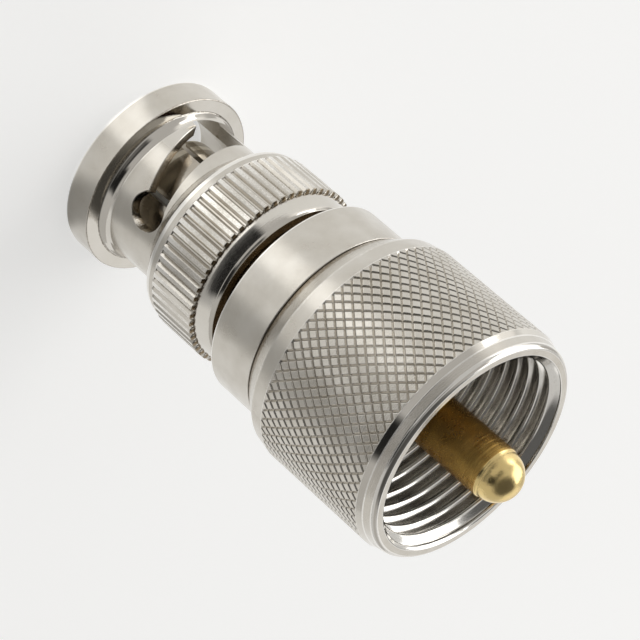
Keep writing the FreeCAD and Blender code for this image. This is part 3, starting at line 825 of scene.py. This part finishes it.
for name, height in (("wave_washer_1", 12.79), ("wave_washer_2", 13.41)):
    bm = bmesh.new()
    rings = []
    for column in range(wave_columns):
        angle = 2 * math.pi * column / wave_columns
        lift = height + rise / 2 * (1 - math.cos(waves * angle))
        rings.append([bm.verts.new(around(reach, angle, lift + thick))
                      for reach, thick in ((washer_inside, 0), (washer_outside, 0),
                                           (washer_outside, strip), (washer_inside, strip))])
    for here, after in zip(rings, rings[1:] + rings[:1]):
        for corner in range(4):
            bm.faces.new((here[corner], here[corner - 1], after[corner - 1], after[corner]))
    washer = piece_from(bm, name, spring_strip)
    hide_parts(name)
    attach(washer, "adapter")
    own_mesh(washer)


# Bayonet sleeve.
# The turning grip of the small plug: flange, thin neck with two cam slots that end in round
# detents, shoulder, straight-knurled grip and polished taper. Turned brass, milled, nickelled.
neck, bore, channel, first_detent = 5.75, 4.95, 5.85, -67
detent_height, detent_reach = 6.05, 1.45
track_foot, track_fall, roof_start, roof_fall, entry_fall = 5.65, 2.30, 7.40, 1.20, 0.45
detent_end, track_end, entry_end = -math.degrees(detent_reach / neck), 74.0, 102.0
seam_foot, stride, nearly = 5.0, 0.75, 1e-6
sleeve_flange, shoulder, grip_root, rear_lip = 7.20, 7.17, 7.09, 5.20
chamber, chamber_foot, chamber_top, rear_end = 6.30, 10.67, 14.40, 15.40
mill_inside, mill_foot, mill_top, mill_steps = 4.5, -0.3, 4.15, 37


def slot_edges(turned_on):
    """Lower and upper edge of the cam slot, by the angle from the detent; None where it is solid."""
    if not detent_end <= turned_on <= entry_end:
        return None
    lower, upper = [], []
    x = neck * math.radians(turned_on)
    if abs(x) <= detent_reach + 1e-9:
        bulge = math.sqrt(max(detent_reach ** 2 - x * x, 0))
        lower.append(detent_height - bulge)
        upper.append(detent_height + bulge)
    if turned_on >= 0:
        share = min(turned_on / track_end, 1)
        past = max(turned_on - track_end, 0) / (entry_end - track_end)
        lower.append(track_foot - track_fall * share)
        upper.append(roof_start - roof_fall * share - entry_fall * past)
    return min(lower), max(upper)


def solid_seam(turned_on):
    """Height where the two bands of the neck meet between one slot's entry and the next detent."""
    share = (turned_on - entry_end) / (180 + detent_end - entry_end)
    return seam_foot + (detent_height - seam_foot) * max(0, min(share, 1))


def sleeve_columns():
    """Every angle at which the sleeve is drawn: (degrees, lower edge, upper edge)."""
    columns = []
    for half in (0, 180):
        first, last = math.ceil(detent_end / stride), math.floor((180 + detent_end) / stride)
        stops = [k * stride for k in range(first, last + 1)]
        stops += [detent_end * math.cos(math.radians(a)) for a in range(0, 90, 6)]
        stops += [-detent_end * math.cos(math.radians(a)) for a in range(0, 90, 6)]
        stops += [k * 0.25 for k in range(-4, 5)]
        stops += [track_end, entry_end]
        for stop in sorted(set(round(s, 4) for s in stops if detent_end <= s < 180 + detent_end)):
            edges = slot_edges(stop) or (solid_seam(stop), solid_seam(stop))
            columns.append((half + stop, *edges))
        columns.append((half + entry_end + 1e-4, solid_seam(entry_end), solid_seam(entry_end)))
    return sorted(columns)


lower_outline = soften([
    (bore, 2.9, 0), (bore, 0, 0.12), (sleeve_flange, 0, 0.18), (sleeve_flange, 2.30, 0.08, -0.5),
    (6.21, 2.40, 0.06, -0.6), (6.12, 2.48, 0.05, 0), (5.88, 2.80, 0.18, 0), (5.76, 3.14, 0.16, 0),
    (neck, 3.2, 0),
], closed=False)
upper_outline = soften([
    (neck, 7.55, 0), (neck, 7.62, 0.04), (shoulder, 8.95, 0.30), (shoulder, 9.70, 0.02),
    (grip_root, 9.78, 0), (grip_root, 13.86, 0), (6.99, 13.90, 0, -0.9), (6.98, 14.05, 0, -0.5),
    # Painted shade: the rear lip face, which faces the body across a narrow gap, takes the darkest tone.
    (6.96, 14.20, 0, 0), (6.71, 15.20, 0.14, 0.3), (6.57, 15.395, 0.03, 0.2), (6.50, 15.396, 0, -0.9),
    (rear_lip, rear_end, 0, -0.9), (rear_lip, chamber_top, 0), (chamber, chamber_top, 0.03),
    (chamber, chamber_foot, 0.03), (bore, chamber_foot, 0.03), (bore, 7.6, 0),
], closed=False)

bm = bmesh.new()
wear_and_light = bm.verts.layers.float.new("wear_and_light_amount")
columns = sleeve_columns()


def sleeve_ring(turned_on, rows):
    """One upright row of points of the sleeve, from (radius, height, wear and light amount)."""
    ring = []
    for r, z, wear_and_light_amount in rows:
        vertex = bm.verts.new(around(r, math.radians(first_detent - turned_on), z))
        vertex[wear_and_light] = wear_and_light_amount
        ring.append(vertex)
    return ring


bands = ([], [])
for turned_on, lower, upper in columns:
    slotted = upper - lower > nearly
    edge = 0.05 if slotted else 0.0
    bands[0].append(sleeve_ring(turned_on, [
        (bore, lower, -0.9 * slotted), (bore, lower - 0.08, 0), *lower_outline, (neck, lower - 0.08, 0),
        (neck, lower - edge, 0.4 * slotted), (neck - edge, lower, -0.4 * slotted)]))
    bands[1].append(sleeve_ring(turned_on, [
        (neck - edge, upper, -0.4 * slotted), (neck, upper + edge, 0.4 * slotted), (neck, upper + 0.09, 0),
        *upper_outline, (bore, upper + 0.08, 0), (bore, upper, -0.9 * slotted)]))
gaps = [upper - lower for _, lower, upper in columns]
for band in bands:
    for j in range(len(band)):
        one, two = band[j], band[(j + 1) % len(band)]
        for i in range(len(one) - 1):
            bm.faces.new((one[i], one[i + 1], two[i + 1], two[i]))
        if max(gaps[j], gaps[(j + 1) % len(gaps)]) > nearly:
            bm.faces.new((one[-1], one[0], two[0], two[-1]))
bayonet_sleeve = piece_from(bm, "bayonet_sleeve", satin_nickel, bright_nickel,
                            bright=[(2.28, 3.7, 5.7, 7.15), (13.9, 15.5, 6.5, 7.3)])
for half in (0, 180):
    bm = bmesh.new()
    first = math.radians(half + first_detent - entry_end)
    side = [bm.verts.new(around(r, first, z)) for r, z in (
        (mill_inside, mill_foot), (channel, mill_foot), (channel, mill_top), (mill_inside, mill_top))]
    mill = bm.faces.new(side)
    bmesh.ops.spin(bm, geom=[mill] + list(mill.edges) + side, axis=(0, 0, 1), cent=(0, 0, 0),
                   steps=mill_steps, angle=math.radians(entry_end - track_end),
                   use_merge=False, use_duplicate=False)
    cut(bayonet_sleeve, piece_from(bm, "channel_mill", satin_nickel))


rib_root, rib_count, first_rib = 7.075, 60, 3


def grip_rib():
    """One rib of the straight knurl, rounded at the flange end and cut square at the other."""
    bm = bmesh.new()
    wear_and_light = bm.verts.layers.float.new("wear_and_light_amount")
    slices = []
    for z, rise, width, crest_tone in (
        (9.60, 0.00, 0.45, 0.0), (9.66, 0.14, 0.80, 0.6), (9.76, 0.22, 0.93, 1.0), (9.92, 0.26, 1.0, 0.9),
        (11.8, 0.26, 1.0, 0.5), (13.72, 0.26, 1.0, 0.6), (13.81, 0.26, 1.0, 0.0), (13.86, 0.25, 1.0, -0.8),
        (13.90, 0.14, 1.0, -0.9), (13.93, -0.10, 1.0, -0.9),
    ):
        ring = []
        for across, share, wear_and_light_amount in ((-0.325, -0.03, -0.6), (-0.20, 0.75, 0), (-0.155, 1.0, crest_tone),
                                    (0.155, 1.0, crest_tone), (0.20, 0.75, 0), (0.325, -0.03, -0.6)):
            out = rib_root + min(rise, rise * share)
            vertex = bm.verts.new((out / 1000, across * width / 1000, z / 1000))
            vertex[wear_and_light] = wear_and_light_amount
            ring.append(vertex)
        slices.append(ring)
    return lofted("grip_rib", bm, slices)


ribs = grown(ring_of_pieces, ring_sockets, piece=grip_rib(), count=rib_count,
             first_angle=math.radians(first_rib), finish=satin_nickel)
join_into(bayonet_sleeve, ribs, smooth=True, sharp=35)
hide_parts("bayonet_sleeve")
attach(bayonet_sleeve, "sleeve")
